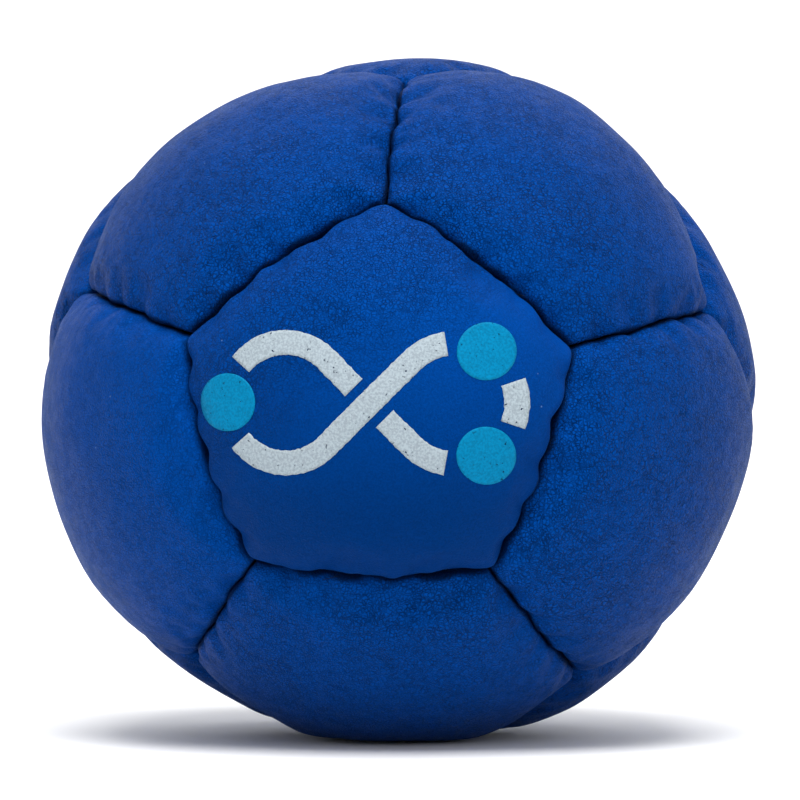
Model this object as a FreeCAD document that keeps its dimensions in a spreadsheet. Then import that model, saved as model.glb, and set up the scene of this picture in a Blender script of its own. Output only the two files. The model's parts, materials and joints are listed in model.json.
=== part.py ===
"""A twelve-panel sewn juggling ball, filled with loose plastic beads, in millimetres.

The cover is a regular dodecahedron of pentagonal panels, blown up round. The edges of every panel are
turned inwards, and each pair of turned edges is held together by a running stitch, so the ball has thirty
seams. The origin is the middle of the ball, +Z is up and -Y is the printed front. The ball stands on a
small patch that its own weight has pressed flat.
"""
import FreeCAD, Part
import math
import os

from FreeCAD import Placement, Rotation, Vector

DIMENSIONS = [
    # alias, value, what it is
    ("half_width", 33.8, "middle of the ball to the top of a panel that faces left or right"),
    ("half_depth", 33.0, "middle of the ball to the top of a panel that faces front or back"),
    ("half_height", 32.1, "middle of the ball to the top of a panel that faces up or down"),
    ("crown_radius", 26.5, "radius of one panel's blown-up face"),
    ("skin", 1.2, "thickness of the cover material"),
    ("seam_gap", 0.2, "between the two turned edges of a seam"),
    ("shoulder_radius", 1.25, "rounding where a panel turns into its seam"),
    ("allowance_floor", 26.6, "middle of the ball to the cut end of a turned edge"),
    ("rest_height", 30.9, "middle of the ball to the flat patch that it stands on"),
    ("turn_x", -2.5, "degrees the printed panel is tipped up"),
    ("turn_z", -4.8, "degrees the printed panel is swung to the left"),
    ("turn_y", 1.95, "degrees the printed panel is rolled clockwise"),
    ("stitch_radius", 29.0, "middle of the ball to the line of stitch holes"),
    ("stitch_count", 5, "holes along one seam"),
    ("stitch_pitch", 4.0, "from one stitch hole to the next"),
    ("hole_radius", 0.4, "stitch hole"),
    ("thread_radius", 0.25, "waxed sewing thread"),
    ("thread_bend", 0.45, "bend of the thread where it enters a hole"),
    ("knot_radius", 0.5, "knot at each end of a seam's thread"),
    ("thread_clearance", 0.05, "thread to the cover material"),
    ("bead_radius", 2.9, "filling bead"),
    ("bead_spacing", 6.0, "between the middles of neighbouring beads"),
    ("bead_clearance", 0.15, "beads to the cover"),
    ("fill_travel", 1.5, "how far the filling shifts when the ball is turned over"),
    ("ink_height", 0.12, "thickness of the print"),
    ("ink_lift", 0.02, "under the print"),
    ("loop_radius", 5.4, "middle line of one loop of the printed figure of eight"),
    ("line_width", 2.2, "printed line"),
    ("dot_radius", 2.6, "printed ball"),
    ("dot_margin", 0.8, "bare ring round a printed ball"),
]

# How far each panel's middle leans from the front one's, and where it lies round it, both in degrees.
NEIGHBOUR = math.degrees(math.acos(1 / math.sqrt(5)))
PANELS = {
    "panel_front": (0, 0),
    "panel_front_upper_right": (NEIGHBOUR, 54),
    "panel_front_right": (NEIGHBOUR, -18),
    "panel_front_bottom": (NEIGHBOUR, -90),
    "panel_front_left": (NEIGHBOUR, -162),
    "panel_front_upper_left": (NEIGHBOUR, 126),
    "panel_back_top": (180 - NEIGHBOUR, 90),
    "panel_back_right": (180 - NEIGHBOUR, 18),
    "panel_back_lower_right": (180 - NEIGHBOUR, -54),
    "panel_back_lower_left": (180 - NEIGHBOUR, -126),
    "panel_back_left": (180 - NEIGHBOUR, 162),
    "panel_back": (180, 0),
}
CLOSING_SEAM = {"panel_front_left", "panel_back_lower_left"}
PRINTED_BALLS = [(-1, 180), (1, 60), (1, -60)]  # left or right loop, and degrees round it
REACH = 60.0  # larger than the ball, for cells and trimming blocks

doc = FreeCAD.newDocument("JugglingBall")
sheet = doc.addObject("Spreadsheet::Sheet", "dimensions")


def fill_sheet():
    """One row for each driving dimension: what it is, its value under an alias."""
    for row, (alias, value, meaning) in enumerate(DIMENSIONS, start=1):
        sheet.set(f"A{row}", meaning)
        sheet.set(f"B{row}", str(value))
        sheet.setAlias(f"B{row}", alias)
    doc.recompute()


def size(alias):
    return float(sheet.get(alias))


def add(kind, name, expressions=None, **links):
    """A document object with its links set and its sizes bound to the sheet."""
    thing = doc.addObject(kind, name)
    for prop, value in links.items():
        setattr(thing, prop, value)
    for prop, expression in (expressions or {}).items():
        thing.setExpression(prop, expression)
    return thing


def feature(name, shape):
    thing = doc.addObject("Part::Feature", name)
    thing.Shape = shape
    return thing


# ---- the dodecahedron ----


def normal_of(name):
    """Outward direction of a panel's middle, with the whole ball turned as it stands."""
    lean, around = (math.radians(angle) for angle in PANELS[name])
    outward = Vector(math.sin(lean) * math.cos(around), -math.cos(lean), math.sin(lean) * math.sin(around))
    roll = Rotation(Vector(0, 1, 0), size("turn_y"))
    swing = Rotation(Vector(0, 0, 1), size("turn_z"))
    tip = Rotation(Vector(1, 0, 0), size("turn_x"))
    return tip.multVec(swing.multVec(roll.multVec(outward)))


def neighbours_of(name):
    """The five panels that share a seam with this one."""
    side_by_side = math.cos(math.radians(NEIGHBOUR))
    return [other for other in PANELS if abs(NORMALS[name].dot(NORMALS[other]) - side_by_side) < 0.01]


def corner(a, b, c):
    """Direction of the point where three panels meet."""
    return (NORMALS[a] + NORMALS[b] + NORMALS[c]).normalize()


def corners_of(name):
    """The five corner directions of a panel, in order round it."""
    middle = NORMALS[name]
    around = neighbours_of(name)
    start = NORMALS[around[0]]
    side = middle.cross(start)

    def bearing(other):
        return math.atan2(NORMALS[other].dot(side), NORMALS[other].dot(start - middle * middle.dot(start)))

    around.sort(key=bearing)
    return [corner(name, around[k], around[(k + 1) % 5]) for k in range(5)]


def seams():
    """Every pair of panels that share a seam, once."""
    names = list(PANELS)
    return [(a, b) for i, a in enumerate(names) for b in names[i + 1 :] if b in neighbours_of(a)]


def across(a, b):
    """Unit vector square to the seam plane between two panels, from a towards b."""
    return (NORMALS[b] - NORMALS[a]).normalize()


def seam_placement(a, b):
    """Carries things from a seam that lies at the top of the ball along X to the seam between two panels."""
    outward = (NORMALS[a] + NORMALS[b]).normalize()
    return Placement(Vector(), Rotation(across(a, b).cross(outward), across(a, b), outward, "ZYX"))


def stitch_points():
    """Middle of each stitch hole along the seam at the top of the ball."""
    step = size("stitch_pitch") / size("stitch_radius")
    count = int(size("stitch_count"))
    angles = [step * (k - (count - 1) / 2) for k in range(count)]
    return [Vector(math.sin(angle), 0, math.cos(angle)) * size("stitch_radius") for angle in angles]


def placed(shape, placement):
    copy = shape.copy()
    copy.Placement = placement
    return copy


# ---- the panels ----


def cell(name, label, setback):
    """Pyramid that widens out through a panel's corners, with its sides set back from the seam planes."""
    middle = NORMALS[name]
    lean = math.sin(math.radians(NEIGHBOUR / 2))
    tip = middle * (setback / lean)
    rim = [tip + direction * REACH for direction in corners_of(name)]
    faces = [Part.Face(Part.makePolygon([tip, rim[k], rim[(k + 1) % 5], tip])) for k in range(5)]
    faces.append(Part.Face(Part.makePolygon(rim + rim[:1])))
    return feature(label, Part.Solid(Part.Shell(faces)))


def crown_centre(name):
    """Middle of the sphere that a panel's face lies on; its top touches the squat outline of the ball."""
    middle = NORMALS[name]
    top = 1 / math.hypot(
        middle.x / size("half_width"), middle.y / size("half_depth"), middle.z / size("half_height")
    )
    return middle * (top - size("crown_radius"))


def crown(name, label, radius):
    """Sphere that a panel's face lies on."""
    ball = add("Part::Sphere", label, {"Radius": radius})
    ball.Placement = Placement(crown_centre(name), Rotation(Vector(-1, 0, 0), NORMALS[name]))
    return ball


def above_rest(label, height):
    """Block that keeps everything above a level below the middle of the ball."""
    sizes = {"Length": f"{2 * REACH}", "Width": f"{2 * REACH}", "Height": f"{2 * REACH}"}
    block = add("Part::Box", label, sizes)
    block.setExpression("Placement.Base.x", f"-{REACH}")
    block.setExpression("Placement.Base.y", f"-{REACH}")
    block.setExpression("Placement.Base.z", f"-({height})")
    return block


def stitch_holes(name):
    """Drills for the holes that a panel's five turned edges have for the thread."""
    length = size("skin") + 2 * size("seam_gap")
    into = Vector(0, -1, 0)
    row = [Part.makeCylinder(size("hole_radius"), length, point, into) for point in stitch_points()]
    drills = [placed(Part.makeCompound(row), seam_placement(name, other)) for other in neighbours_of(name)]
    return feature(f"{name}_drills", Part.makeCompound(drills))


def rounded_block(name, block):
    """The panel's solid block with its outer rim rounded over into the seams."""
    doc.recompute()
    radius = size("shoulder_radius")
    rim = [k for k, edge in enumerate(block.Shape.Edges, start=1) if isinstance(edge.Curve, Part.Circle)]
    return add("Part::Fillet", f"{name}_rounded", Base=block, Edges=[(k, radius, radius) for k in rim])


def build_panel(name):
    """One pentagon of cover material: a blown-up face and five turned edges, with its stitch holes."""
    outside = cell(name, f"{name}_cell", size("seam_gap") / 2)
    inside = cell(name, f"{name}_hollow_cell", size("seam_gap") / 2 + size("skin"))
    face = crown(name, f"{name}_crown", "dimensions.crown_radius")
    lining = crown(name, f"{name}_lining", "dimensions.crown_radius - dimensions.skin")
    block = add("Part::Common", f"{name}_block", Base=outside, Tool=face)
    rounded = rounded_block(name, block)
    standing = add("Part::Common", f"{name}_standing", Base=rounded, Tool=REST_OUTSIDE)
    hollow = add("Part::Common", f"{name}_hollow", Base=inside, Tool=lining)
    room = add("Part::Common", f"{name}_room", Base=hollow, Tool=REST_INSIDE)
    shell = add("Part::Cut", f"{name}_shell", Base=standing, Tool=room)
    open_shell = add("Part::Cut", f"{name}_open", Base=shell, Tool=CORE)
    return add("Part::Cut", name, Base=open_shell, Tool=stitch_holes(name), Label=name)


# ---- the thread ----


def thread_pieces(points):
    """Straight rods through the points, with a bent rod at each corner between them."""
    radius, bend = size("thread_radius"), size("thread_bend")
    pieces, last = [], points[0]
    for before, here, after in zip(points, points[1:], points[2:]):
        back = (before - here).normalize()
        on = (after - here).normalize()
        half = back.getAngle(on) / 2
        start = here + back * (bend / math.tan(half))
        middle = here + (back + on).normalize() * (bend / math.sin(half))
        disc = Part.Face(Part.Wire(Part.makeCircle(radius, start, back)))
        pieces.append(Part.makeCylinder(radius, (start - last).Length, last, start - last))
        pieces.append(disc.revolve(middle, back.cross(start - middle), 180 - math.degrees(2 * half)))
        last = here + on * (bend / math.tan(half))
    pieces.append(Part.makeCylinder(radius, (points[-1] - last).Length, last, points[-1] - last))
    return pieces


def seam_thread():
    """One seam's running stitch: across at every hole, along the turned edge between, a knot at each end."""
    over = Vector(0, 1, 0)
    face = size("seam_gap") / 2 + size("skin") + size("thread_clearance")
    path, side = [], -1
    for point in stitch_points():
        reach = over * (side * (face + size("thread_radius")))
        path += [point + reach, point - reach]
        side = -side
    knot_reach = over * (size("knot_radius") - size("thread_radius"))
    path[0] -= knot_reach
    path[-1] += knot_reach * side
    knots = [Part.makeSphere(size("knot_radius"), end, over) for end in (path[0], path[-1])]
    return knots[0].multiFuse(thread_pieces(path) + knots[1:]).removeSplitter().Solids[0]


def build_thread(name, pairs):
    """The thread of several seams, one solid for each seam."""
    runs = [placed(SEAM_THREAD, seam_placement(a, b)) for a, b in pairs]
    thread = feature(name, Part.makeCompound(runs))
    thread.Label = name
    return thread


def seams_by_stage():
    """Seams in the order a ball is sewn: front half, back half, the halves joined, the last one closed."""
    stages = {"front_half_thread": [], "back_half_thread": [], "joining_thread": [], "closing_thread": []}
    for a, b in seams():
        in_front = [name.startswith("panel_front") for name in (a, b)]
        if {a, b} == CLOSING_SEAM:
            stages["closing_thread"].append((a, b))
        elif all(in_front):
            stages["front_half_thread"].append((a, b))
        elif any(in_front):
            stages["joining_thread"].append((a, b))
        else:
            stages["back_half_thread"].append((a, b))
    return stages


# ---- the filling ----


def owner(point):
    """The panel whose cell a point lies in."""
    return max(PANELS, key=lambda name: NORMALS[name].dot(point))


def bead_fits(point):
    """Whether a bead clears the cover, its turned edges and the thread."""
    name = owner(point)
    reach = size("bead_radius") + size("bead_clearance")
    under_crown = size("crown_radius") - size("skin") - reach
    if (point - crown_centre(name)).Length > under_crown:
        return False
    if point.z < size("skin") + reach - size("rest_height"):
        return False
    if point.Length < size("allowance_floor") - reach:
        return True
    beside_seam = size("seam_gap") / 2 + size("skin") + 2 * size("knot_radius") + reach
    return all(-point.dot(across(name, other)) > beside_seam for other in neighbours_of(name))


def bead_places():
    """Close-packed places for the settled beads, which still clear the cover when the filling shifts up."""
    step = size("bead_spacing") / math.sqrt(2)
    reach = int(size("half_width") / step) + 1
    shift = Vector(0, 0, size("fill_travel"))
    places = []
    for i in range(-reach, reach + 1):
        for j in range(-reach, reach + 1):
            for k in range(-reach, reach + 1):
                point = Vector(i, j, k) * step
                if (i + j + k) % 2 == 0 and bead_fits(point) and bead_fits(point + shift):
                    places.append(point)
    return places


def build_filling():
    """The beads, each a solid of its own."""
    beads = [Part.makeSphere(size("bead_radius"), place) for place in bead_places()]
    filling = feature("filling_beads", Part.makeCompound(beads))
    filling.Label = "filling_beads"
    return filling


# ---- the print ----


def on_front(right, up, turn=0.0):
    """A placement on the printed panel, that far from its middle, with Z pointing out of it."""
    middle = NORMALS["panel_front"]
    face = Rotation(Vector(0, 0, 1).cross(middle), Vector(0, 0, 1), middle, "ZXY")
    place = crown_centre("panel_front") + face.multVec(Vector(right, up, 0))
    return Placement(place, face * Rotation(Vector(0, 0, 1), turn))


def post(label, radius, right, up):
    """A round post out through the printed panel."""
    rod = add("Part::Cylinder", label, {"Radius": radius, "Height": f"{REACH}"})
    rod.Placement = on_front(right, up)
    return rod


def printed_loop(label, side):
    """One loop of the figure of eight: a ring without the quarter that faces the crossing."""
    away = side * math.sqrt(2) * size("loop_radius")
    outer = post(f"{label}_outer", "dimensions.loop_radius + dimensions.line_width / 2", away, 0)
    inner = post(f"{label}_inner", "dimensions.loop_radius - dimensions.line_width / 2", away, 0)
    ring = add("Part::Cut", f"{label}_ring", Base=outer, Tool=inner)
    reach = "dimensions.loop_radius + dimensions.line_width"
    sizes = {"Length": reach, "Width": reach, "Height": f"{REACH}"}
    quarter = add("Part::Box", f"{label}_quarter", sizes)
    quarter.Placement = on_front(away, 0, 45 + 90 * side)
    return add("Part::Cut", label, Base=ring, Tool=quarter)


def printed_bar(label, slope, width):
    """A straight bar through the middle of the figure of eight, from one loop to the other."""
    sizes = {"Length": "2 * dimensions.loop_radius", "Width": width, "Height": f"{REACH}"}
    bar = add("Part::Box", label, sizes)
    doc.recompute()
    start = Rotation(Vector(0, 0, 1), slope).multVec(Vector(bar.Length.Value, bar.Width.Value, 0) * -0.5)
    bar.Placement = on_front(start.x, start.y, slope)
    return bar


def printed_crossing():
    """The straight lines of the figure of eight; the falling one is broken where the rising one crosses."""
    rising = printed_bar("rising_line", 45, "dimensions.line_width")
    falling = printed_bar("falling_line", -45, "dimensions.line_width")
    gap = printed_bar("crossing_gap", 45, "dimensions.line_width + 2 * dimensions.dot_margin")
    return [rising, add("Part::Cut", "broken_line", Base=falling, Tool=gap)]


def printed_balls(radius, label):
    """Posts where the three printed balls sit: one at the far left, two on the right loop."""
    away = math.sqrt(2) * size("loop_radius")
    posts = []
    for side, bearing in PRINTED_BALLS:
        right = side * away + size("loop_radius") * math.cos(math.radians(bearing))
        up = size("loop_radius") * math.sin(math.radians(bearing))
        posts.append(post(f"{label}_{len(posts) + 1}", radius, right, up))
    return add("Part::MultiFuse", label, Shapes=posts)


def build_print():
    """A lying figure of eight, the path of juggled balls, with three balls on it, as thin layers of ink."""
    underside = "dimensions.crown_radius + dimensions.ink_lift"
    above = crown("panel_front", "ink_top", f"{underside} + dimensions.ink_height")
    below = crown("panel_front", "ink_underside", underside)
    ink = add("Part::Cut", "ink", Base=above, Tool=below)
    lines = [printed_loop("left_loop", -1), printed_loop("right_loop", 1)] + printed_crossing()
    eight = add("Part::MultiFuse", "figure_of_eight", Shapes=lines)
    bare = printed_balls("dimensions.dot_radius + dimensions.dot_margin", "bare_rings")
    balls = printed_balls("dimensions.dot_radius", "ball_posts")
    path = add("Part::Cut", "path_posts", Base=eight, Tool=bare)
    printed_path = add("Part::Common", "print_path", Base=ink, Tool=path, Label="print_path")
    return [printed_path, add("Part::Common", "print_balls", Base=ink, Tool=balls, Label="print_balls")]


fill_sheet()
NORMALS = {name: normal_of(name) for name in PANELS}
REST_OUTSIDE = above_rest("above_rest", "dimensions.rest_height")
REST_INSIDE = above_rest("above_rest_inside", "dimensions.rest_height - dimensions.skin")
CORE = add("Part::Sphere", "core", {"Radius": "dimensions.allowance_floor"})
SEAM_THREAD = seam_thread()

nodes = [build_panel(name) for name in PANELS]
nodes += [build_thread(name, pairs) for name, pairs in seams_by_stage().items()]
nodes += build_print()
nodes.append(build_filling())
doc.recompute()

os.makedirs("parts", exist_ok=True)
for thing in doc.Objects:
    if "Invalid" in thing.State or "Error" in thing.State:
        raise SystemExit(f"{thing.Name} failed: {thing.State}")
for node in nodes:
    if node.Shape.isNull() or not node.Shape.isValid() or not node.Shape.Solids:
        raise SystemExit(f"{node.Label} has no valid solid")
for node in nodes:
    node.Shape.exportStep(os.path.join("parts", node.Label + ".step"))
    print(node.Label, len(node.Shape.Solids), "solids", round(node.Shape.Volume, 1), "mm3")
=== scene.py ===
import json
import math

import bmesh
import bpy
import numpy as np
from mathutils import Matrix, Vector, noise
from mathutils.bvhtree import BVHTree


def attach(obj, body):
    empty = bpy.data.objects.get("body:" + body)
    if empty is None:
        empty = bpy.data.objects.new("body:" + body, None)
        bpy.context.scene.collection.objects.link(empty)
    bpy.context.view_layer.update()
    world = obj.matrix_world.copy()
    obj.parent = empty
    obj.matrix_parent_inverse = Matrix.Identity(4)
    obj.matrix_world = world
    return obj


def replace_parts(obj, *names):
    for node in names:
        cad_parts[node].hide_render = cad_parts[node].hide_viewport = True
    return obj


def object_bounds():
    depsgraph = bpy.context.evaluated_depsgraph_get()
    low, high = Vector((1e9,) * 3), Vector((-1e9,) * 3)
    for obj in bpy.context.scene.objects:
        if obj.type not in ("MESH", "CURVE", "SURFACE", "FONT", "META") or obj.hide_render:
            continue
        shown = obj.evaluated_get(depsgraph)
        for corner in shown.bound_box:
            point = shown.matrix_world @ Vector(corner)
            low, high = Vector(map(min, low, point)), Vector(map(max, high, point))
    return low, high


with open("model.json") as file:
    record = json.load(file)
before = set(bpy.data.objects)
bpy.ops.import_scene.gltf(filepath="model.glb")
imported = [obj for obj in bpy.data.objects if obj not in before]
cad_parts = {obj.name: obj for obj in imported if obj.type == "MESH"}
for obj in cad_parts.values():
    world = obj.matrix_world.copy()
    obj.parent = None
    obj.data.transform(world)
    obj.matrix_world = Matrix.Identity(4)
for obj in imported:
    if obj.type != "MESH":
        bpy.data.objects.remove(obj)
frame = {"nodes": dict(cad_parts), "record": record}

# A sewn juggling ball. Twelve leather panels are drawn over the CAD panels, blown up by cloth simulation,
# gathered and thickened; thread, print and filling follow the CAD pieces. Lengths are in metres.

MM = 0.001

PANELS = [name for name in frame["record"]["behaviour"]["bodies"]["cover"] if name.startswith("panel_")]
FRONT = PANELS.index("panel_front")
LOWEST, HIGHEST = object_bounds()  # corners of the CAD ball's box
BALL_RADIUS = (HIGHEST.x - LOWEST.x) / 2
HAIR = 0.001 * MM  # a length too small to matter
SAME_DIGITS = 9  # places that agree in this many decimals are one place
ANY_PHASE = 6.0  # radians, almost a whole turn

# The cover
CORNERS = 5  # of a panel
CROWN_RADIUS = 0.80 * BALL_RADIUS  # one panel's blown-up face
SKIN = 1.1 * MM
GRID = 20  # mesh steps from a panel's middle to its seam, and along half a seam
EDGE_CROWDING = 1.6  # above 1, the mesh is finer towards the seams
CORNER_SHARPNESS = 4.0  # how suddenly one seam's shape gives way to the next at a corner
SEAM_GAP = 0.06 * MM
CLOSED = 0.12 * MM  # the turned edges lie within this distance of the middle of their seam
SHOULDER = 1.3 * MM  # how far in from a seam the surface starts to roll down, halfway between two stitches
SEAM_DEPTH = 1.2 * MM  # how deep the visible valley is there
STITCH_WIDENS = 0.7  # share by which the shoulder is wider beside a stitch
STITCH_DEEPENS = 0.45  # share by which the valley is deeper there
NEAR_STITCH = 0.4  # beside a seam, the skin is held fast where lobes() is below this
LEVELLING = 3.0 * MM  # how far in from a seam a panel bends to meet a fuller or flatter neighbour
TURNED_ROWS = (0.7 * MM, 1.0 * MM, 1.6 * MM)  # steps of the edge that is turned into the seam
STITCH_PITCH = 4.0 * MM
LOBES = 7  # folds of one seam
LOBE = 0.30 * MM  # how far a fold swings sideways between two stitches
LOBE_RANGE = (0.2, 1.3)  # weakest and strongest fold, as shares of that
SWING_REACH = 2.1 * MM  # how far in from a seam the swing is felt
DRIFT = 0.6  # slower wandering of a seam, as a share of the swing
DRIFT_LENGTH = 2.6 * STITCH_PITCH
SETTLE = 0.3 * MM  # softness of the flat patch's rim

# The cloth simulation
CLOTH_SCALE = 10
CLOTH_FRAMES = 14
MOST_MOVE = 1.5 * MM
SWELL = 0.78 * MM  # the simulation blows the cover up by about this much, so it starts smaller
FULLNESS = {  # how much fuller a panel is than the even shape, because the beads lie unevenly
    "panel_back_right": -1.2 * MM,
    "panel_front_upper_right": -0.5 * MM,
    "panel_back_top": -0.6 * MM,
    "panel_front_upper_left": -0.8 * MM,
    "panel_back_left": 0.3 * MM,
    "panel_front_left": -0.2 * MM,
    "panel_back_lower_right": -0.4 * MM,
}

OUTLINE_LUMPS = [  # bearing round the outline seen from the front, in degrees, and how far it bulges there
    (5, 0.6 * MM),
    (35, -0.4 * MM),
    (68, 0.4 * MM),
    (107, -0.4 * MM),
    (240, -0.4 * MM),
    (300, 0.35 * MM),
    (330, -0.9 * MM),
]
LUMP_SPREAD = 11.0  # degrees

# Gathers and lumps
GATHER_PITCH = 1.5 * MM
GATHER_REACH = 2.2 * MM
GATHER_HEIGHT = 0.09 * MM
GATHER_WAVES = 3  # added up
GATHER_LENGTHS = (0.75, 1.35)  # shortest and longest of them, as shares of the pitch
GATHER_SLANT = 0.5  # how far each wave leans more than the one before
GATHER_LEFT = 0.2  # share of a gather's height that is left right at the seam
GATHER_FLOOR = 3.0 * MM  # below a panel's top, the skin lies inside the seam
LUMP_SIZE = 5.0 * MM
LUMP_HEIGHT = 0.12 * MM

# The print
LOOP = 5.4 * MM  # radius of the two loops of the figure of eight
LINE_WIDTH = 2.2 * MM
LINE_STEPS = 8  # mesh steps across the line
ROUGH_EDGE = 0.02  # unevenness of the line's edges, as a share of its width
DOT = 2.6 * MM  # radius of a printed ball
DOT_SIDES = 72
DOT_RINGS = 11
BARE_RING = 0.8 * MM  # leather left bare round a ball and beside the crossing
INK_LIFT = 0.01 * MM
INK_THICKNESS = 0.03 * MM
PRINT_SEED = 8

# Thread and filling
THREAD = 0.25 * MM  # radius
THREAD_DEPTH = 3.6 * MM
HOLES = 5  # stitch holes of one seam
STITCH_POINTS = 7  # along one stitch
STITCH_RISE = 0.1 * MM  # how far a stitch lies too high or too low
STITCH_SLANT = 0.15 * MM  # how far it runs askew
THREAD_SEED = 7
LAST_SEAM = {"panel_front_left", "panel_back_lower_left"}  # closed by hand once the filling is in
FIBRES = 2  # loose fibres in one seam
FIBRE = 0.025 * MM  # radius
FIBRE_DEPTH = 2.6 * MM
FIBRE_LENGTHS = (0.8 * MM, 1.7 * MM)
FIBRE_SPREAD = 2 * STITCH_PITCH  # from a seam's middle
FIBRE_SWAY = (0.8, 0.3)  # most lean along the seam and across it, as shares of the length
FIBRE_POINTS = 6
BEAD = 2.9 * MM  # radius
BEAD_SPACING = 6.0 * MM
SQUEEZE = 0.95  # the dented leather leaves the filling less room than the CAD cover does
PELLET_WIDTHS = (0.9, 1)  # as shares of the bead
PELLET_HEIGHTS = (0.75, 0.9)
FILLING_SEED = 5

# Grain and colour of the leather
PEBBLES = 3.1  # small cells of the grain, per millimetre
WRINKLES = 1.3  # larger ones
CREASE_DEPTH = 0.12 * MM
CREASED = {"panel_front_left": 0.6, "panel_front_bottom": 0.8}  # panels with a calmer grain than the rest
USUAL_GRAIN = 0.9
FRONT_GRAIN = (0.15, 0.8)  # the printed panel is stretched smooth, except towards its upper left
GRAIN_FADE = 14 * MM
GRAIN_LEAN = 0.6  # how far left of straight up that corner lies
FRONT_SHADE = (0.55, 1.05)  # painted shade: its colour is drawn darker towards its lower edge, where less light falls
SHADE_FADE = 40 * MM
BLUE = (0.0002, 0.048, 0.265)
DYE = (0.93, 1.07)  # its unevenness; this and the next four are shares of the blue
SPECKLE = 0.45
# painted highlight: the lighter colour over the rolled shoulders beside the seams
SHOULDER_HIGHLIGHT = 1.25
# painted shade: the colour in the grain's creases
CREASE_SHADE = 0.12
SEAM_SHADE = 0.06
LINT = (0.2, 0.3, 0.45)

# Other colours
WHITE_INK = (0.34, 0.40, 0.44)
CYAN_INK = (0.0, 0.18, 0.36)
THREAD_DARK, THREAD_LIGHT = (0.002, 0.003, 0.006), (0.008, 0.010, 0.016)
PLASTIC_DARK, PLASTIC_LIGHT = (0.62, 0.62, 0.58), (0.8, 0.8, 0.76)
FLOOR_DARK, FLOOR_LIGHT = (0.87, 0.87, 0.87), (0.9, 0.9, 0.9)
SKY = (0.97, 0.98, 1.0)
SKY_STRENGTH = 0.5
USUAL_NOISE = (0.35, 0.65)  # where most values of a noise texture lie

# Camera and stage
CAMERA_DISTANCE = 1.47
CAMERA_TILT = 3.0  # degrees above level
SENSOR = 36  # width, in millimetres
BALL_SHARE = 0.896  # of the picture's width
WALL_BEHIND = 1.6  # the wall's distance behind the ball
WALL_HEIGHT = 2.2
COVE = 0.6  # radius between floor and wall
COVE_STEPS = 12
FLOOR_REACH = 3.0  # to the front and to either side


# ---- where the CAD panels are ----


def mesh_points(mesh):
    """A mesh's vertices as rows of x, y and z."""
    points = np.zeros(len(mesh.vertices) * 3)
    mesh.vertices.foreach_get("co", points)
    return points.reshape(-1, 3)


def unit(vectors):
    return vectors / np.linalg.norm(vectors, axis=-1, keepdims=True)


def surface_centre(mesh):
    areas = np.zeros(len(mesh.polygons))
    centres = np.zeros(len(mesh.polygons) * 3)
    mesh.polygons.foreach_get("area", areas)
    mesh.polygons.foreach_get("center", centres)
    return (centres.reshape(-1, 3) * areas[:, None]).sum(0) / areas.sum()


def panel_middles():
    """Outward direction of each panel, evened out against the one opposite: the lowest ones are cut flat."""
    raw = unit(np.array([surface_centre(frame["nodes"][name].data) for name in PANELS]))
    opposite = (raw @ raw.T).argmin(1)
    return unit(raw - raw[opposite])


def panel_top(name, middle):
    """How far a CAD panel reaches outwards."""
    return (mesh_points(frame["nodes"][name].data) @ middle).max()


MIDDLES = panel_middles()
SIDE_BY_SIDE = 1 / math.sqrt(5)  # cosine of the angle between two neighbouring panels
HALF_SEAM = (BALL_RADIUS - SEAM_DEPTH) * 2 / (math.sqrt(3) * (1 + math.sqrt(5)))  # half a dodecahedron's edge
TOPS = np.array([panel_top(name, middle) for name, middle in zip(PANELS, MIDDLES)])
TOPS += [FULLNESS.get(name, 0.0) - SWELL for name in PANELS]


class Seam:
    """The line that panel number a shares with panel number b, seen from a."""

    def __init__(self, a, b):
        self.other = b
        self.inward = unit(MIDDLES[a] - MIDDLES[b])
        self.middle = unit(MIDDLES[a] + MIDDLES[b])
        first, second = sorted((a, b))
        self.along = unit(np.cross(MIDDLES[first], self.middle))
        self.side = 1 if a == first else -1
        random = np.random.default_rng([first, second])
        self.strengths = random.uniform(*LOBE_RANGE, LOBES)
        self.lean = random.choice((-1, 1))
        self.phase = random.uniform(0, ANY_PHASE)


def neighbours(a):
    return [b for b in range(len(PANELS)) if b != a and MIDDLES[a] @ MIDDLES[b] > 0]


def corner_directions(a):
    """The five corners of a panel, in order round it."""
    start = MIDDLES[neighbours(a)[0]]
    across = np.cross(MIDDLES[a], start)
    ahead = start - MIDDLES[a] * SIDE_BY_SIDE
    around = sorted(neighbours(a), key=lambda b: math.atan2(MIDDLES[b] @ across, MIDDLES[b] @ ahead))
    return [unit(MIDDLES[a] + MIDDLES[around[k - 1]] + MIDDLES[around[k]]) for k in range(CORNERS)]


# ---- the shape of a panel ----


def seam_coordinates(a, points):
    """For each of a panel's seams: how far in from it each point is, and how far along it."""
    seams = [Seam(a, b) for b in neighbours(a)]
    inwards = np.stack([points @ seam.inward for seam in seams], 1)
    along = np.stack([points @ seam.along for seam in seams], 1)
    return seams, inwards, along


def lobes(along):
    """0 at each stitch and 1 halfway between two stitches."""
    return np.abs(np.sin(np.pi * along / STITCH_PITCH))


def seam_swing(seam, along):
    """How far a seam wanders off its plane, towards the panel that comes later in the list."""
    lobe = np.clip(np.floor(along / STITCH_PITCH).astype(int) + LOBES // 2, 0, LOBES - 1)
    window = np.clip(1 - (along / HALF_SEAM) ** 4, 0, 1)
    drift = np.sin(along / DRIFT_LENGTH * 2 * np.pi + seam.phase)
    return window * LOBE * (seam.lean * seam.strengths[lobe] * (lobes(along) - 0.5) + DRIFT * drift)


def nearness(inwards):
    """Each seam's share in the shape at a point, and the distance to the seams, rounded off at corners."""
    closeness = np.maximum(inwards, 10 * HAIR) ** -CORNER_SHARPNESS
    total = closeness.sum(1)
    return closeness / total[:, None], total ** (-1 / CORNER_SHARPNESS)


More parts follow.
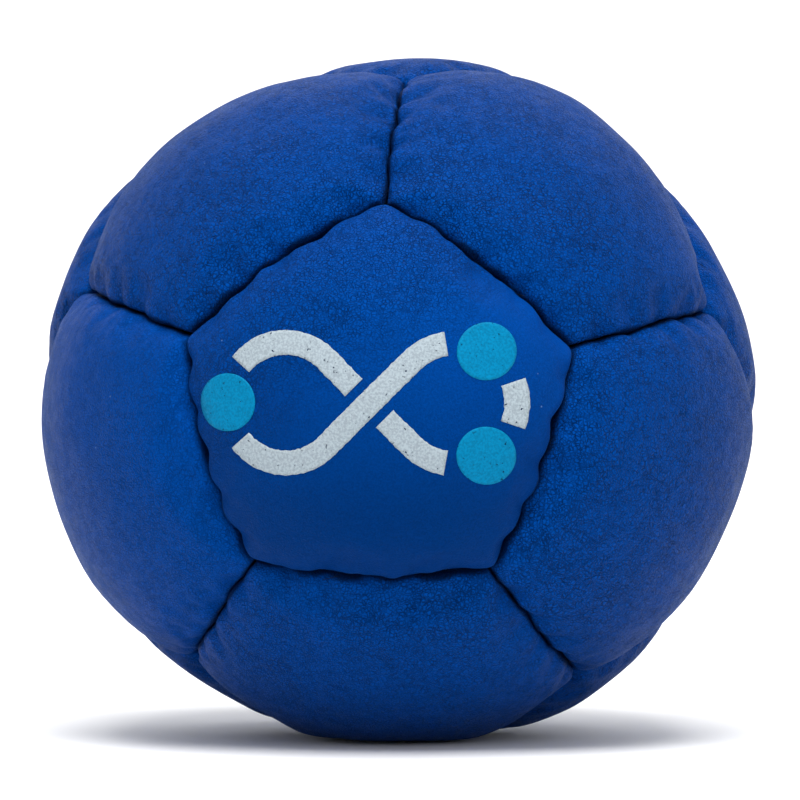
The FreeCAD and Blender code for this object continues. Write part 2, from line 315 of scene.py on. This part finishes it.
def panel_face(a, directions):
    """Points of a panel's face along the given directions: a crown that rolls down into scalloped seams."""
    centre = MIDDLES[a] * (TOPS[a] - CROWN_RADIUS)
    ahead = directions @ centre
    reach = ahead + np.sqrt(ahead**2 - centre @ centre + CROWN_RADIUS**2)
    points = directions * reach[:, None]
    seams, inwards, along = seam_coordinates(a, points)
    share, distance = nearness(inwards)
    pinch = (share * (1 - lobes(along))).sum(1)
    shoulder = SHOULDER * (1 + STITCH_WIDENS * pinch)
    rolled = np.clip(1 - distance / shoulder, 0, 1)
    depth = SEAM_DEPTH * (1 + STITCH_DEEPENS * pinch) * (1 - np.sqrt(1 - rolled**2))
    halfway = np.array([TOPS[seam.other] - TOPS[a] for seam in seams]) / 2
    level = share @ halfway * np.exp(-distance / LEVELLING)
    points += directions * (level - depth)[:, None]
    for k, seam in enumerate(seams):
        swing = seam_swing(seam, along[:, k]) * np.exp(-((inwards[:, k] / SWING_REACH) ** 2))
        points -= np.outer(swing * seam.side, seam.inward)
        points += np.outer(SEAM_GAP / 2 * np.exp(-inwards[:, k] / SHOULDER), seam.inward)
    return points


def settled(points):
    """The points with everything below the flat patch that the ball stands on pressed up to it."""
    above = points[:, 2] - LOWEST.z
    points[:, 2] = LOWEST.z + (above + np.sqrt(above**2 + SETTLE**2)) / 2
    return points


# ---- building meshes ----


def kite(middle, before, corner, after):
    """Directions over the part of a panel between its middle, a corner and the middles of two seams."""
    steps = np.linspace(0, 1, GRID + 1)
    u, v = np.meshgrid(steps, steps, indexing="ij")
    ring = np.maximum(u, v)
    crowded = 1 - (1 - ring) ** EDGE_CROWDING
    spread = np.divide(crowded, ring, out=np.ones_like(ring), where=ring > 0)
    u, v = (u * spread)[..., None], (v * spread)[..., None]
    near, far = (1 - v) * middle + v * after, (1 - v) * before + v * corner
    return unit((1 - u) * near + u * far)


def add_grid(mesh, rows, made, position=Vector):
    """Adds quads between rows of places to a bmesh. Equal places share one vertex, kept in made."""
    grid = []
    for row in rows:
        grid.append([])
        for place in row:
            key = tuple(np.round(place, SAME_DIGITS))
            if key not in made:
                made[key] = mesh.verts.new(position(place))
            grid[-1].append(made[key])
    for upper, lower in zip(grid, grid[1:]):
        for j in range(len(upper) - 1):
            corners = dict.fromkeys((upper[j], lower[j], lower[j + 1], upper[j + 1]))
            mesh.faces.new(list(corners))


def flat_sheet(a):
    """A panel's face as a grid of quads on the unit sphere."""
    sheet = bmesh.new()
    made = {}
    corners = corner_directions(a)
    for k in range(CORNERS):
        before = unit(corners[k - 1] + corners[k])
        after = unit(corners[k] + corners[(k + 1) % CORNERS])
        add_grid(sheet, kite(MIDDLES[a], before, corners[k], after), made)
    sheet.normal_update()
    sheet.faces.ensure_lookup_table()
    if sheet.faces[0].normal.dot(Vector(MIDDLES[a])) < 0:
        bmesh.ops.reverse_faces(sheet, faces=sheet.faces)
    return sheet


def turn_edges(sheet):
    """Carries a sheet's rim down into its seams, in rows."""
    rim = [edge for edge in sheet.edges if edge.is_boundary]
    for step in TURNED_ROWS:
        below = {}
        for vertex in [vertex for edge in rim for vertex in edge.verts]:
            if vertex not in below:
                below[vertex] = sheet.verts.new(vertex.co - vertex.co.normalized() * step)
        turned = []
        for edge in rim:
            start = edge.link_loops[0].vert
            end = edge.other_vert(start)
            face = sheet.faces.new((end, start, below[start], below[end]))
            turned.append(face.edges[2])
        rim = turned


def bmesh_points(sheet):
    return np.array([vertex.co[:] for vertex in sheet.verts])


def move_to(sheet, points):
    for vertex, point in zip(sheet.verts, points):
        vertex.co = point


def panel_sheet(a):
    """One panel with its turned edges, as a single layer, before it is blown up."""
    sheet = flat_sheet(a)
    move_to(sheet, settled(panel_face(a, bmesh_points(sheet))))
    turn_edges(sheet)
    sheet.verts.index_update()
    return sheet


# ---- blowing the cover up ----


def pinned(a, sheet):
    """Which points of a panel are held fast: the ends of its turned edges and the skin beside each stitch."""
    _, inwards, along = seam_coordinates(a, bmesh_points(sheet))
    share, distance = nearness(inwards)
    beside_stitch = (distance < 2 * SEAM_GAP) & ((share * lobes(along)).sum(1) < NEAR_STITCH)
    end = np.array([vertex.is_boundary for vertex in sheet.verts])
    return beside_stitch | end


def cloth_cover(sheets):
    """All the panels as one cloth, enlarged, with its sewn points in a vertex group."""
    points, faces, pins, count = [], [], [], 0
    for a, sheet in enumerate(sheets):
        faces += [[vertex.index + count for vertex in face.verts] for face in sheet.faces]
        points.append(bmesh_points(sheet))
        pins.append(pinned(a, sheet))
        count += len(sheet.verts)
    mesh = bpy.data.meshes.new("cover_cloth")
    mesh.from_pydata((np.concatenate(points) * CLOTH_SCALE).tolist(), [], faces)
    cover = bpy.data.objects.new("cover_cloth", mesh)
    bpy.context.scene.collection.objects.link(cover)
    group = cover.vertex_groups.new(name="sewn")
    group.add(np.nonzero(np.concatenate(pins))[0].tolist(), 1.0, "REPLACE")
    return cover


def blow_up(sheets):
    """Where each panel's points rest when the filling pushes the cover out, found by cloth simulation."""
    cover = cloth_cover(sheets)
    cloth = cover.modifiers.new("cloth", "CLOTH")
    cloth.settings.vertex_group_mass = "sewn"
    cloth.settings.quality = 6
    cloth.settings.mass = 0.15
    cloth.settings.tension_stiffness = 25
    cloth.settings.compression_stiffness = 8
    cloth.settings.shear_stiffness = 6
    cloth.settings.bending_stiffness = 0.6
    cloth.settings.use_pressure = True
    cloth.settings.uniform_pressure_force = 4
    cloth.settings.shrink_min = -0.04
    cloth.settings.effector_weights.gravity = 0
    cloth.collision_settings.use_collision = False
    cloth.point_cache.frame_end = CLOTH_FRAMES
    for frame_number in range(1, CLOTH_FRAMES + 1):
        bpy.context.scene.frame_set(frame_number)
    before = mesh_points(cover.data) / CLOTH_SCALE
    evaluated = cover.evaluated_get(bpy.context.evaluated_depsgraph_get())
    moves = mesh_points(evaluated.data) / CLOTH_SCALE - before
    bpy.data.objects.remove(cover)
    bpy.context.scene.frame_set(1)
    lengths = np.linalg.norm(moves, axis=1, keepdims=True)
    blown = before + moves * np.minimum(1, MOST_MOVE / np.maximum(lengths, HAIR))
    return np.split(blown, np.cumsum([len(sheet.verts) for sheet in sheets])[:-1])


def kept_apart(a, points):
    """The points pushed back to their own side of each seam's wavy middle."""
    seams, inwards, along = seam_coordinates(a, points)
    for k, seam in enumerate(seams):
        fence = -seam_swing(seam, along[:, k]) * seam.side + SEAM_GAP / 2
        short = np.maximum(fence - inwards[:, k], 0)
        points = points + np.outer(short, seam.inward)
    return points


def closed_up(a, before, after):
    """The simulated points with the turned edges held beside their neighbours', so that no seam gapes."""
    seams, started, along_before = seam_coordinates(a, before)
    _, inwards, along = seam_coordinates(a, after)
    points = after.copy()
    for k, seam in enumerate(seams):
        turned = started[:, k] + seam_swing(seam, along_before[:, k]) * seam.side < CLOSED
        limit = CLOSED - seam_swing(seam, along[:, k]) * seam.side
        excess = np.where(turned, np.maximum(inwards[:, k] - limit, 0), 0)
        points -= np.outer(excess, seam.inward)
    return points


# ---- finishing the panels ----


def ridges(along, inwards, random):
    """Fine gathers that run in from a seam and die out, as sums of waves along it."""
    waves = 0
    for k in range(GATHER_WAVES):
        length = GATHER_PITCH * random.uniform(*GATHER_LENGTHS)
        turn = 2 * np.pi * along / length + GATHER_SLANT * k * inwards / GATHER_PITCH
        waves = waves + np.sin(turn + random.uniform(0, ANY_PHASE))
    return waves / GATHER_WAVES


def pressed(points):
    """How far the beads push the cover out or leave it slack, at the places in OUTLINE_LUMPS."""
    height = np.zeros(len(points))
    directions = unit(points)
    for bearing, rise in OUTLINE_LUMPS:
        toward = np.array([math.cos(math.radians(bearing)), 0, math.sin(math.radians(bearing))])
        angle = np.degrees(np.arccos(np.clip(directions @ toward, -1, 1)))
        height += rise * np.exp(-((angle / LUMP_SPREAD) ** 2) / 2)
    return height


def gathered(a, points):
    """The points with gathers where the stitches pull the skin together, and lumps from the beads below."""
    seams, inwards, along = seam_coordinates(a, points)
    share, distance = nearness(inwards)
    height = np.zeros(len(points))
    for k, seam in enumerate(seams):
        random = np.random.default_rng([a, seam.other])
        fold = ridges(along[:, k], inwards[:, k], random)
        fade = np.exp(-inwards[:, k] / GATHER_REACH) * np.clip(inwards[:, k] / SHOULDER, GATHER_LEFT, 1)
        height += share[:, k] * fade * fold * GATHER_HEIGHT
    lumps = [noise.noise(Vector(point / LUMP_SIZE) + Vector((a, 0, 0))) for point in points]
    height += np.array(lumps) * LUMP_HEIGHT * np.clip(distance / SHOULDER, 0, 1)
    height *= np.linalg.norm(points, axis=1) > TOPS[a] - GATHER_FLOOR
    return points + unit(points) * (height + pressed(points))[:, None]


def store(mesh, name, values):
    """Keeps one number per point for the materials to read."""
    attribute = mesh.attributes.new(name, "FLOAT", "POINT")
    attribute.data.foreach_set("value", np.ascontiguousarray(values, dtype=np.float32))


def set_points(mesh, points):
    mesh.vertices.foreach_set("co", points.ravel())
    mesh.update()


def built_in(piece):
    """Replaces a piece's mesh by what its modifiers make of it."""
    evaluated = piece.evaluated_get(bpy.context.evaluated_depsgraph_get())
    mesh = bpy.data.meshes.new_from_object(evaluated)
    piece.modifiers.clear()
    piece.data = mesh
    return mesh


def smooth(mesh):
    mesh.polygons.foreach_set("use_smooth", [True] * len(mesh.polygons))


def add_piece(name, mesh, body, material):
    piece = bpy.data.objects.new(name, mesh)
    bpy.context.scene.collection.objects.link(piece)
    piece.data.materials.append(material)
    smooth(mesh)
    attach(piece, body)
    return piece


def crinkle(a, points):
    """How strongly the grain is creased."""
    if a != FRONT:
        return np.full(len(points), CREASED.get(PANELS[a], USUAL_GRAIN))
    right, up, _ = front_axes()
    least, most = FRONT_GRAIN
    return np.clip(least + points @ (up - GRAIN_LEAN * right) / GRAIN_FADE, least, most)


def lower_edge_shade(a, points):
    """How bright the colour is left by the painted shade, which darkens the printed panel towards its lower
    edge.
    """
    if a != FRONT:
        return np.ones(len(points))
    least, most = FRONT_SHADE
    return np.clip((least + most) / 2 + points @ front_axes()[1] / SHADE_FADE, least, most)


def build_panel(a, sheet, material):
    """One panel of leather: the blown-up sheet made finer, gathered at its seams and given its thickness."""
    mesh = bpy.data.meshes.new(PANELS[a])
    sheet.to_mesh(mesh)
    piece = add_piece("leather_" + PANELS[a].removeprefix("panel_"), mesh, "cover", material)
    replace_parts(piece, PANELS[a])
    finer = piece.modifiers.new("finer", "SUBSURF")
    finer.levels = finer.render_levels = 1
    mesh = built_in(piece)
    points = kept_apart(a, gathered(a, mesh_points(mesh)))
    set_points(mesh, settled(points))
    inwards = seam_coordinates(a, points)[1]
    store(mesh, "fold", np.exp(-nearness(inwards)[1] / SHOULDER))
    store(mesh, "crinkle", crinkle(a, points))
    store(mesh, "lower_edge_shade", lower_edge_shade(a, points))
    thick = piece.modifiers.new("thick", "SOLIDIFY")
    thick.thickness, thick.offset = SKIN, -1
    built_in(piece)
    return piece


# ---- the print ----


def front_axes():
    """Right, up and out on the printed panel."""
    out = MIDDLES[FRONT]
    right = unit(np.cross([0, 0, 1], out))
    return right, np.cross(out, right), out


def printed(name, strips, node, material, surface):
    """A thin skin of ink laid on the printed panel. Each strip is a grid of places on it, as right and up."""
    right, up, out = front_axes()

    def on_panel(place):
        start = Vector(right * place[0] + up * place[1] + out * 2 * BALL_RADIUS)
        hit, normal = surface.ray_cast(start, Vector(-out))[:2]
        return hit + normal * INK_LIFT

    ink = bmesh.new()
    for strip in strips:
        add_grid(ink, strip, {}, on_panel)
    bmesh.ops.recalc_face_normals(ink, faces=ink.faces)
    if ink.faces[:][0].normal.dot(Vector(out)) < 0:
        bmesh.ops.reverse_faces(ink, faces=ink.faces)
    mesh = bpy.data.meshes.new(name)
    ink.to_mesh(mesh)
    piece = add_piece(name, mesh, "cover", material)
    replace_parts(piece, node)
    thick = piece.modifiers.new("thick", "SOLIDIFY")
    thick.thickness, thick.offset = INK_THICKNESS, 1
    built_in(piece)


def eight(steps=45):
    """Middle line of the figure of eight from its far left round its top, and where it dips under itself."""
    turn = np.linspace(-0.75 * np.pi, 0.75 * np.pi, 2 * steps + 1)
    right_loop = np.stack([math.sqrt(2) + np.cos(turn), np.sin(turn)], 1)
    left_loop = right_loop * (-1, 1)
    down = np.linspace((-1, 1), (1, -1), steps)[1:-1] / math.sqrt(2)
    back = down * (-1, 1)
    parts = [left_loop[steps:], down, right_loop, back, left_loop[: steps + 1]]
    under = np.concatenate([np.full(len(part), part is down) for part in parts])
    return np.concatenate(parts) * LOOP, under


def ball_places():
    """Middles of the three printed balls: one at the far left, two on the right loop."""
    places = []
    for side, bearing in ((-1, 180), (1, 60), (1, -60)):
        angle = math.radians(bearing)
        places.append(np.array([side * math.sqrt(2) + math.cos(angle), math.sin(angle)]) * LOOP)
    return places


def band(middle_line, random):
    """A printed line as a strip of places, with slightly uneven edges."""
    ahead = np.gradient(middle_line, axis=0)
    ahead /= np.linalg.norm(ahead, axis=1, keepdims=True)
    sideways = np.stack([-ahead[:, 1], ahead[:, 0]], 1)
    across = np.linspace(-0.5, 0.5, LINE_STEPS + 1)
    uneven = 1 + ROUGH_EDGE * random.standard_normal(len(middle_line))
    return middle_line[:, None] + sideways[:, None] * (across[:, None] * LINE_WIDTH * uneven[:, None, None])


def stretches(middle_line, kept):
    """The parts of a middle line that are kept, each as its own line."""
    starts = np.nonzero(np.diff(kept.astype(int)))[0] + 1
    return [part for part, keep in zip(np.split(middle_line, starts), np.split(kept, starts)) if keep[0]]


def build_print(front, white, cyan):
    """The figure of eight and its three balls."""
    mesh = front.data
    surface = BVHTree.FromPolygons([v.co for v in mesh.vertices], [p.vertices for p in mesh.polygons])
    random = np.random.default_rng(PRINT_SEED)
    balls = ball_places()
    path, under = eight()
    to_ball = np.min([np.linalg.norm(path - ball, axis=1) for ball in balls], axis=0)
    to_crossing = np.abs(path[:, 1] - path[:, 0]) / math.sqrt(2)
    kept = (to_ball > DOT + BARE_RING) & ~(under & (to_crossing < LINE_WIDTH / 2 + BARE_RING))
    bands = [band(line, random) for line in stretches(path, kept)]
    printed("ink_path", bands, "print_path", white, surface)
    discs = []
    for ball in balls:
        turn = np.linspace(0, 2 * np.pi, DOT_SIDES + 1)
        rim = np.stack([np.cos(turn), np.sin(turn)], 1)
        discs.append([ball + rim * DOT * ring for ring in np.linspace(0, 1, DOT_RINGS + 1)])
    printed("ink_balls", discs, "print_balls", cyan, surface)


# ---- the thread ----


def tube(mesh, points, radius, sides=8):
    """A round strand through the points, added to a bmesh."""
    points = [Vector(point) for point in points]
    askew = Vector((0.3, 0.5, 0.8))  # any direction that no strand runs in
    turns = [2 * math.pi * side / sides for side in range(sides)]
    rings = []
    for k, point in enumerate(points):
        ahead = (points[min(k + 1, len(points) - 1)] - points[max(k - 1, 0)]).normalized()
        first = ahead.cross(askew).normalized() * radius
        second = ahead.cross(first)
        rings.append([mesh.verts.new(point + first * math.cos(t) + second * math.sin(t)) for t in turns])
    for ring, following in zip(rings, rings[1:]):
        for side in range(sides):
            after = (side + 1) % sides
            mesh.faces.new((ring[side], ring[after], following[after], following[side]))
    mesh.faces.new(rings[0][::-1])
    mesh.faces.new(rings[-1])


def stitch_run(seam, random):
    """Points of one seam's running stitch, which crosses from panel to panel at every hole."""
    base = TOPS.mean() - THREAD_DEPTH
    off = SKIN + SEAM_GAP + THREAD
    points, side = [], 1
    for hole in range(HOLES):
        angle = (hole - HOLES // 2) * STITCH_PITCH / base
        outward = seam.middle * math.cos(angle) + seam.along * math.sin(angle)
        here = outward * (base + random.uniform(-STITCH_RISE, STITCH_RISE))
        lean = seam.along * random.uniform(-STITCH_SLANT, STITCH_SLANT)
        for share in np.linspace(-1, 1, STITCH_POINTS):
            points.append(here + (seam.inward * side * off + lean) * share)
        side = -side
    return points


def fuzz(mesh, seam, random):
    """Short loose fibres that stick up out of a seam."""
    for _ in range(FIBRES):
        angle = random.uniform(-FIBRE_SPREAD, FIBRE_SPREAD) / BALL_RADIUS
        outward = seam.middle * math.cos(angle) + seam.along * math.sin(angle)
        start = outward * (TOPS.mean() - FIBRE_DEPTH)
        lengthways, sideways = [random.uniform(-most, most) for most in FIBRE_SWAY]
        sway = seam.along * lengthways + seam.inward * sideways
        bend = seam.along * random.uniform(-1, 1)
        length = random.uniform(*FIBRE_LENGTHS)
        steps = np.linspace(0, 1, FIBRE_POINTS)
        tube(mesh, [start + ((outward + sway) * s + bend * s * s) * length for s in steps], FIBRE, sides=5)


def build_thread(name, node, pairs, material):
    strands = bmesh.new()
    for a, b in pairs:
        seam = Seam(a, b)
        random = np.random.default_rng([THREAD_SEED, a, b])
        tube(strands, stitch_run(seam, random), THREAD)
        fuzz(strands, seam, random)
    mesh = bpy.data.meshes.new(name)
    strands.to_mesh(mesh)
    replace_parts(add_piece(name, mesh, "cover", material), node)


def seams_by_stage():
    """Pairs of panels in the order they are sewn: front half, back half, the halves joined, the last seam."""
    stages = {"front_half_thread": [], "back_half_thread": [], "joining_thread": [], "closing_thread": []}
    for a in range(len(PANELS)):
        for b in [other for other in neighbours(a) if other > a]:
            front = [PANELS[k].startswith("panel_front") for k in (a, b)]
            if {PANELS[a], PANELS[b]} == LAST_SEAM:
                stages["closing_thread"].append((a, b))
            elif all(front):
                stages["front_half_thread"].append((a, b))
            elif any(front):
                stages["joining_thread"].append((a, b))
            else:
                stages["back_half_thread"].append((a, b))
    return stages


# ---- the filling ----


def bead_middles():
    """Middles of the CAD beads: those places of their close packing that lie inside a bead's skin."""
    mesh = frame["nodes"]["filling_beads"].data
    skin = BVHTree.FromPolygons([v.co for v in mesh.vertices], [p.vertices for p in mesh.polygons])
    step = BEAD_SPACING / math.sqrt(2)
    count = int(BALL_RADIUS / step) + 1
    reach = range(-count, count + 1)
    corners = [Vector((i, j, k)) for i in reach for j in reach for k in reach if (i + j + k) % 2 == 0]
    middles = []
    for corner in corners:
        place = corner * step
        nearest, normal = skin.find_nearest(place)[:2]
        if (nearest - place).dot(normal) > 0:
            middles.append(place)
    return middles


def build_beads(material):
    """The filling as slightly flattened pellets, each turned its own way, packed closer than in the CAD."""
    random = np.random.default_rng(FILLING_SEED)
    pellets = bmesh.new()
    for place in bead_middles():
        turn = Matrix.Rotation(random.uniform(0, 2 * math.pi), 4, Vector(random.standard_normal(3)))
        shape = Matrix.Diagonal((1, random.uniform(*PELLET_WIDTHS), random.uniform(*PELLET_HEIGHTS), 1))
        move = Matrix.Translation(place * SQUEEZE)
        bmesh.ops.create_icosphere(pellets, subdivisions=2, radius=BEAD * SQUEEZE, matrix=move @ turn @ shape)
    mesh = bpy.data.meshes.new("pellets")
    pellets.to_mesh(mesh)
    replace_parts(add_piece("pellets", mesh, "filling", material), "filling_beads")


# ---- materials ----


def shade(colour, amount=1.0):
    """A colour as red, green, blue and alpha, made darker or lighter if asked."""
    return [channel * amount for channel in colour] + [1]


class Recipe:
    """Short calls for building one material out of nodes."""

    def __init__(self, name):
        self.material = bpy.data.materials.new(name)
        self.material.use_nodes = True
        self.tree = self.material.node_tree
        self.shader = self.tree.nodes["Principled BSDF"]
        place = self.node("TexCoord").outputs["Object"]
        self.place = self.node("VectorMath", {0: place, 1: (1 / MM,) * 3}, operation="MULTIPLY").outputs[0]

    def node(self, kind, inputs=None, **settings):
        made = self.tree.nodes.new("ShaderNode" + kind)
        for name, value in settings.items():
            setattr(made, name, value)
        self.feed(made, inputs or {})
        return made

    def feed(self, node, inputs):
        for name, value in inputs.items():
            if isinstance(value, bpy.types.NodeSocket):
                self.tree.links.new(value, node.inputs[name])
            else:
                node.inputs[name].default_value = value

    def attribute(self, name):
        """A value kept on the mesh by store()."""
        return self.node("Attribute", attribute_name=name).outputs["Fac"]

    def noise(self, scale, detail=3.0):
        """Soft random field, so many features per millimetre."""
        return self.node("TexNoise", {"Vector": self.place, "Scale": scale, "Detail": detail}).outputs["Fac"]

    def patches(self, scale, low=0.0, high=1.0):
        """Soft random field that covers the range from low to high."""
        return self.stretch(self.noise(scale), *USUAL_NOISE, low, high)

    def stretch(self, value, low, high, to_low=0.0, to_high=1.0):
        """The value carried from one range to another, and held inside it."""
        inputs = {"Value": value, "From Min": low, "From Max": high, "To Min": to_low, "To Max": to_high}
        return self.node("MapRange", inputs, interpolation_type="SMOOTHSTEP").outputs["Result"]

    def math(self, operation, first, second):
        return self.node("Math", {0: first, 1: second}, operation=operation).outputs[0]

    def mix(self, share, first, second):
        """A colour between two colours."""
        made = self.node("Mix", data_type="RGBA")
        colour = [socket for socket in made.inputs if socket.type == "RGBA"]
        factor = next(socket for socket in made.inputs if socket.type == "VALUE")
        for socket, value in ((factor, share), (colour[0], first), (colour[1], second)):
            if isinstance(value, bpy.types.NodeSocket):
                self.tree.links.new(value, socket)
            else:
                socket.default_value = value
        return next(socket for socket in made.outputs if socket.type == "RGBA")

    def warped(self, scale, reach):
        """Places shifted about by a soft random field."""
        cloud = self.node("TexNoise", {"Vector": self.place, "Scale": scale, "Detail": 2.0}).outputs["Color"]
        centred = self.node("VectorMath", {0: cloud, 1: (0.5,) * 3}, operation="SUBTRACT").outputs[0]
        shift = self.node("VectorMath", {0: centred, 1: (reach,) * 3}, operation="MULTIPLY").outputs[0]
        return self.node("VectorMath", {0: self.place, 1: shift}, operation="ADD").outputs[0]

    def cracks(self, scale, width, place):
        """1 along the borders of random cells, 0 inside them."""
        inputs = {"Vector": place, "Scale": scale}
        edge = self.node("TexVoronoi", inputs, feature="DISTANCE_TO_EDGE").outputs["Distance"]
        return self.stretch(edge, 0.0, width, 1.0, 0.0)

    def specks(self, scale, radius):
        """1 in small round spots, so many per millimetre along any line, 0 elsewhere."""
        spots = self.node("TexVoronoi", {"Vector": self.place, "Scale": scale}).outputs["Distance"]
        return self.stretch(spots, radius / 2, radius, 1.0, 0.0)

    def times(self, first, second):
        return self.math("MULTIPLY", first, second)

    def bump(self, height, distance):
        return self.node("Bump", {"Height": height, "Distance": distance}).outputs["Normal"]

    def finish(self, **inputs):
        self.feed(self.shader, {name.replace("_", " "): value for name, value in inputs.items()})
        return self.material


def leather():
    """Matte synthetic leather with a crinkled grain, painted shade in its creases and seams, a painted
    highlight on its shoulders and painted shade towards the printed panel's lower edge.
    """
    r = Recipe("blue_leather")
    fold = r.attribute("fold")  # 1 in a seam, and less and less over its shoulder
    pebbles = r.times(r.cracks(PEBBLES, 0.17, r.warped(1.2, 0.8)), r.patches(1.5, 0.55, 1.0))
    wrinkles = r.times(r.cracks(WRINKLES, 0.07, r.warped(0.5, 1.5)), r.patches(0.4))
    calmed = r.times(r.attribute("crinkle"), r.patches(0.09, 0.8, 1.0))
    creases = r.times(r.math("MAXIMUM", pebbles, wrinkles), calmed)
    dyed = r.mix(r.noise(0.12), *[shade(BLUE, amount) for amount in DYE])
    speckled = r.mix(r.patches(6.0, 0.0, 0.4), dyed, shade(BLUE, SPECKLE))
    # painted highlight: the shoulders beside each seam drawn lighter
    highlighted = r.mix(r.stretch(fold, 0.15, 0.6, 0.0, 0.3), speckled, shade(BLUE, SHOULDER_HIGHLIGHT))
    # painted shade: the grain's creases drawn darker, where shade falls in them
    crease_shaded = r.mix(r.times(creases, 0.82), highlighted, shade(BLUE, CREASE_SHADE))
    # painted shade: the printed panel drawn darker towards its lower edge
    shaded_below = r.mix(r.attribute("lower_edge_shade"), shade(BLUE, 0.0), crease_shaded)
    shaded = r.mix(r.stretch(fold, 0.72, 1.0, 0.0, 0.85), shaded_below, shade(BLUE, SEAM_SHADE))
    height = r.math("SUBTRACT", r.times(r.noise(5.0, 4.0), 0.6), creases)
    return r.finish(
        Base_Color=r.mix(r.times(r.specks(0.3, 0.03), 0.4), shaded, shade(LINT)),
        Roughness=r.patches(0.8, 0.48, 0.58),
        Specular_IOR_Level=0.06,
        Specular_Tint=(0.0, 0.4, 1.0, 1.0),
        Sheen_Weight=r.patches(0.1, 0.01, 0.04),
        Sheen_Roughness=0.3,
        Sheen_Tint=(0.3, 0.5, 1.0, 1.0),
        Normal=r.bump(height, CREASE_DEPTH),
    )


def ink(name, colour):
    """Screen print worn through in pinholes, over the leather's grain."""
    r = Recipe(name)
    pinholes = r.stretch(r.noise(3.0, 4.0), 0.28, 0.34, 1.0, 0.0)
    mottled = r.mix(r.patches(5.0), shade(colour, 0.75), shade(colour))
    height = r.math("SUBTRACT", r.noise(5.0, 4.0), r.times(pinholes, 1.5))
    return r.finish(
        Base_Color=r.mix(pinholes, mottled, shade(BLUE, 0.15)),
        Roughness=r.patches(2.0, 0.5, 0.7),
        Specular_IOR_Level=0.12,
        Specular_Tint=(0.3, 0.7, 1.0, 1.0),
        Normal=r.bump(height, 0.05 * MM),
    )


def thread_material():
    """Dark waxed thread with twisted strands."""
    r = Recipe("waxed_thread")
    waves = {"Vector": r.place, "Scale": 1.6, "Distortion": 1.5}
    twist = r.node("TexWave", waves, bands_direction="DIAGONAL").outputs["Fac"]
    return r.finish(
        Base_Color=r.mix(twist, shade(THREAD_DARK), shade(THREAD_LIGHT)),
        Roughness=r.patches(3.0, 0.6, 0.8),
        Specular_IOR_Level=0.15,
        Normal=r.bump(twist, 0.03 * MM),
    )


def pellet_material():
    """Milky moulded plastic, a little scuffed."""
    r = Recipe("pellet_plastic")
    return r.finish(
        Base_Color=r.mix(r.noise(0.15), shade(PLASTIC_DARK), shade(PLASTIC_LIGHT)),
        Roughness=r.patches(1.5, 0.25, 0.45),
        Normal=r.bump(r.noise(2.0), 0.04 * MM),
    )


# ---- the stage ----


def floor_material():
    """Matt white paint, faintly uneven."""
    r = Recipe("pale_floor")
    return r.finish(Base_Color=r.mix(r.noise(0.02), shade(FLOOR_DARK), shade(FLOOR_LIGHT)), Roughness=0.8)


def backdrop():
    """A pale floor that sweeps up into a wall behind the ball."""
    profile = [(-FLOOR_REACH, 0)]
    for step in range(COVE_STEPS + 1):
        angle = math.pi / 2 * step / COVE_STEPS
        profile.append((WALL_BEHIND - COVE + COVE * math.sin(angle), COVE - COVE * math.cos(angle)))
    profile.append((WALL_BEHIND, WALL_HEIGHT))
    sweep = bmesh.new()
    rows = [[sweep.verts.new((x, y, LOWEST.z + z)) for x in (-FLOOR_REACH, FLOOR_REACH)] for y, z in profile]
    for low, high in zip(rows, rows[1:]):
        sweep.faces.new((low[0], low[1], high[1], high[0]))
    mesh = bpy.data.meshes.new("backdrop")
    sweep.to_mesh(mesh)
    piece = bpy.data.objects.new("backdrop", mesh)
    smooth(mesh)
    bpy.context.scene.collection.objects.link(piece)
    piece.data.materials.append(floor_material())


def camera():
    """A long lens, almost level with the ball, which nearly fills the picture."""
    data = bpy.data.cameras.new("camera")
    data.sensor_width = SENSOR
    data.lens = SENSOR * CAMERA_DISTANCE * BALL_SHARE / (2 * BALL_RADIUS)
    eye = bpy.data.objects.new("camera", data)
    bpy.context.scene.collection.objects.link(eye)
    tilt = math.radians(CAMERA_TILT)
    eye.location = Vector((0, -math.cos(tilt), math.sin(tilt))) * CAMERA_DISTANCE
    eye.rotation_euler = (math.pi / 2 - tilt, 0, 0)
    bpy.context.scene.camera = eye


def softbox(name, place, size, power, target=(0, 0, 0)):
    """A square soft light."""
    data = bpy.data.lights.new(name, "AREA")
    data.size, data.energy = size, power
    lamp = bpy.data.objects.new(name, data)
    lamp.location = place
    lamp.rotation_euler = (Vector(target) - Vector(place)).to_track_quat("-Z", "Y").to_euler()
    bpy.context.scene.collection.objects.link(lamp)


def daylight():
    """Even light from all around."""
    world = bpy.data.worlds.new("world")
    world.use_nodes = True
    background = world.node_tree.nodes["Background"]
    background.inputs["Color"].default_value = shade(SKY)
    background.inputs["Strength"].default_value = SKY_STRENGTH
    bpy.context.scene.world = world


# ---- putting it together ----

bpy.context.scene.view_settings.view_transform = "Standard"
sheets = [panel_sheet(a) for a in range(len(PANELS))]
for a, points in enumerate(blow_up(sheets)):
    held = closed_up(a, bmesh_points(sheets[a]), points)
    move_to(sheets[a], settled(kept_apart(a, held)))
blue_leather = leather()
panels = [build_panel(a, sheet, blue_leather) for a, sheet in enumerate(sheets)]
build_print(panels[FRONT], ink("white_ink", WHITE_INK), ink("cyan_ink", CYAN_INK))
waxed = thread_material()
for node, pairs in seams_by_stage().items():
    build_thread("sewn_" + node, node, pairs, waxed)
build_beads(pellet_material())
backdrop()
camera()
softbox("overhead", (0.0, -0.35, 0.9), size=0.6, power=13)
softbox("front_fill", (0.4, -1.1, 0.6), size=0.8, power=2.6)
softbox("wall_light", (0, 0.6, 1.3), size=1.0, power=16, target=(0, WALL_BEHIND, 0.5))
daylight()
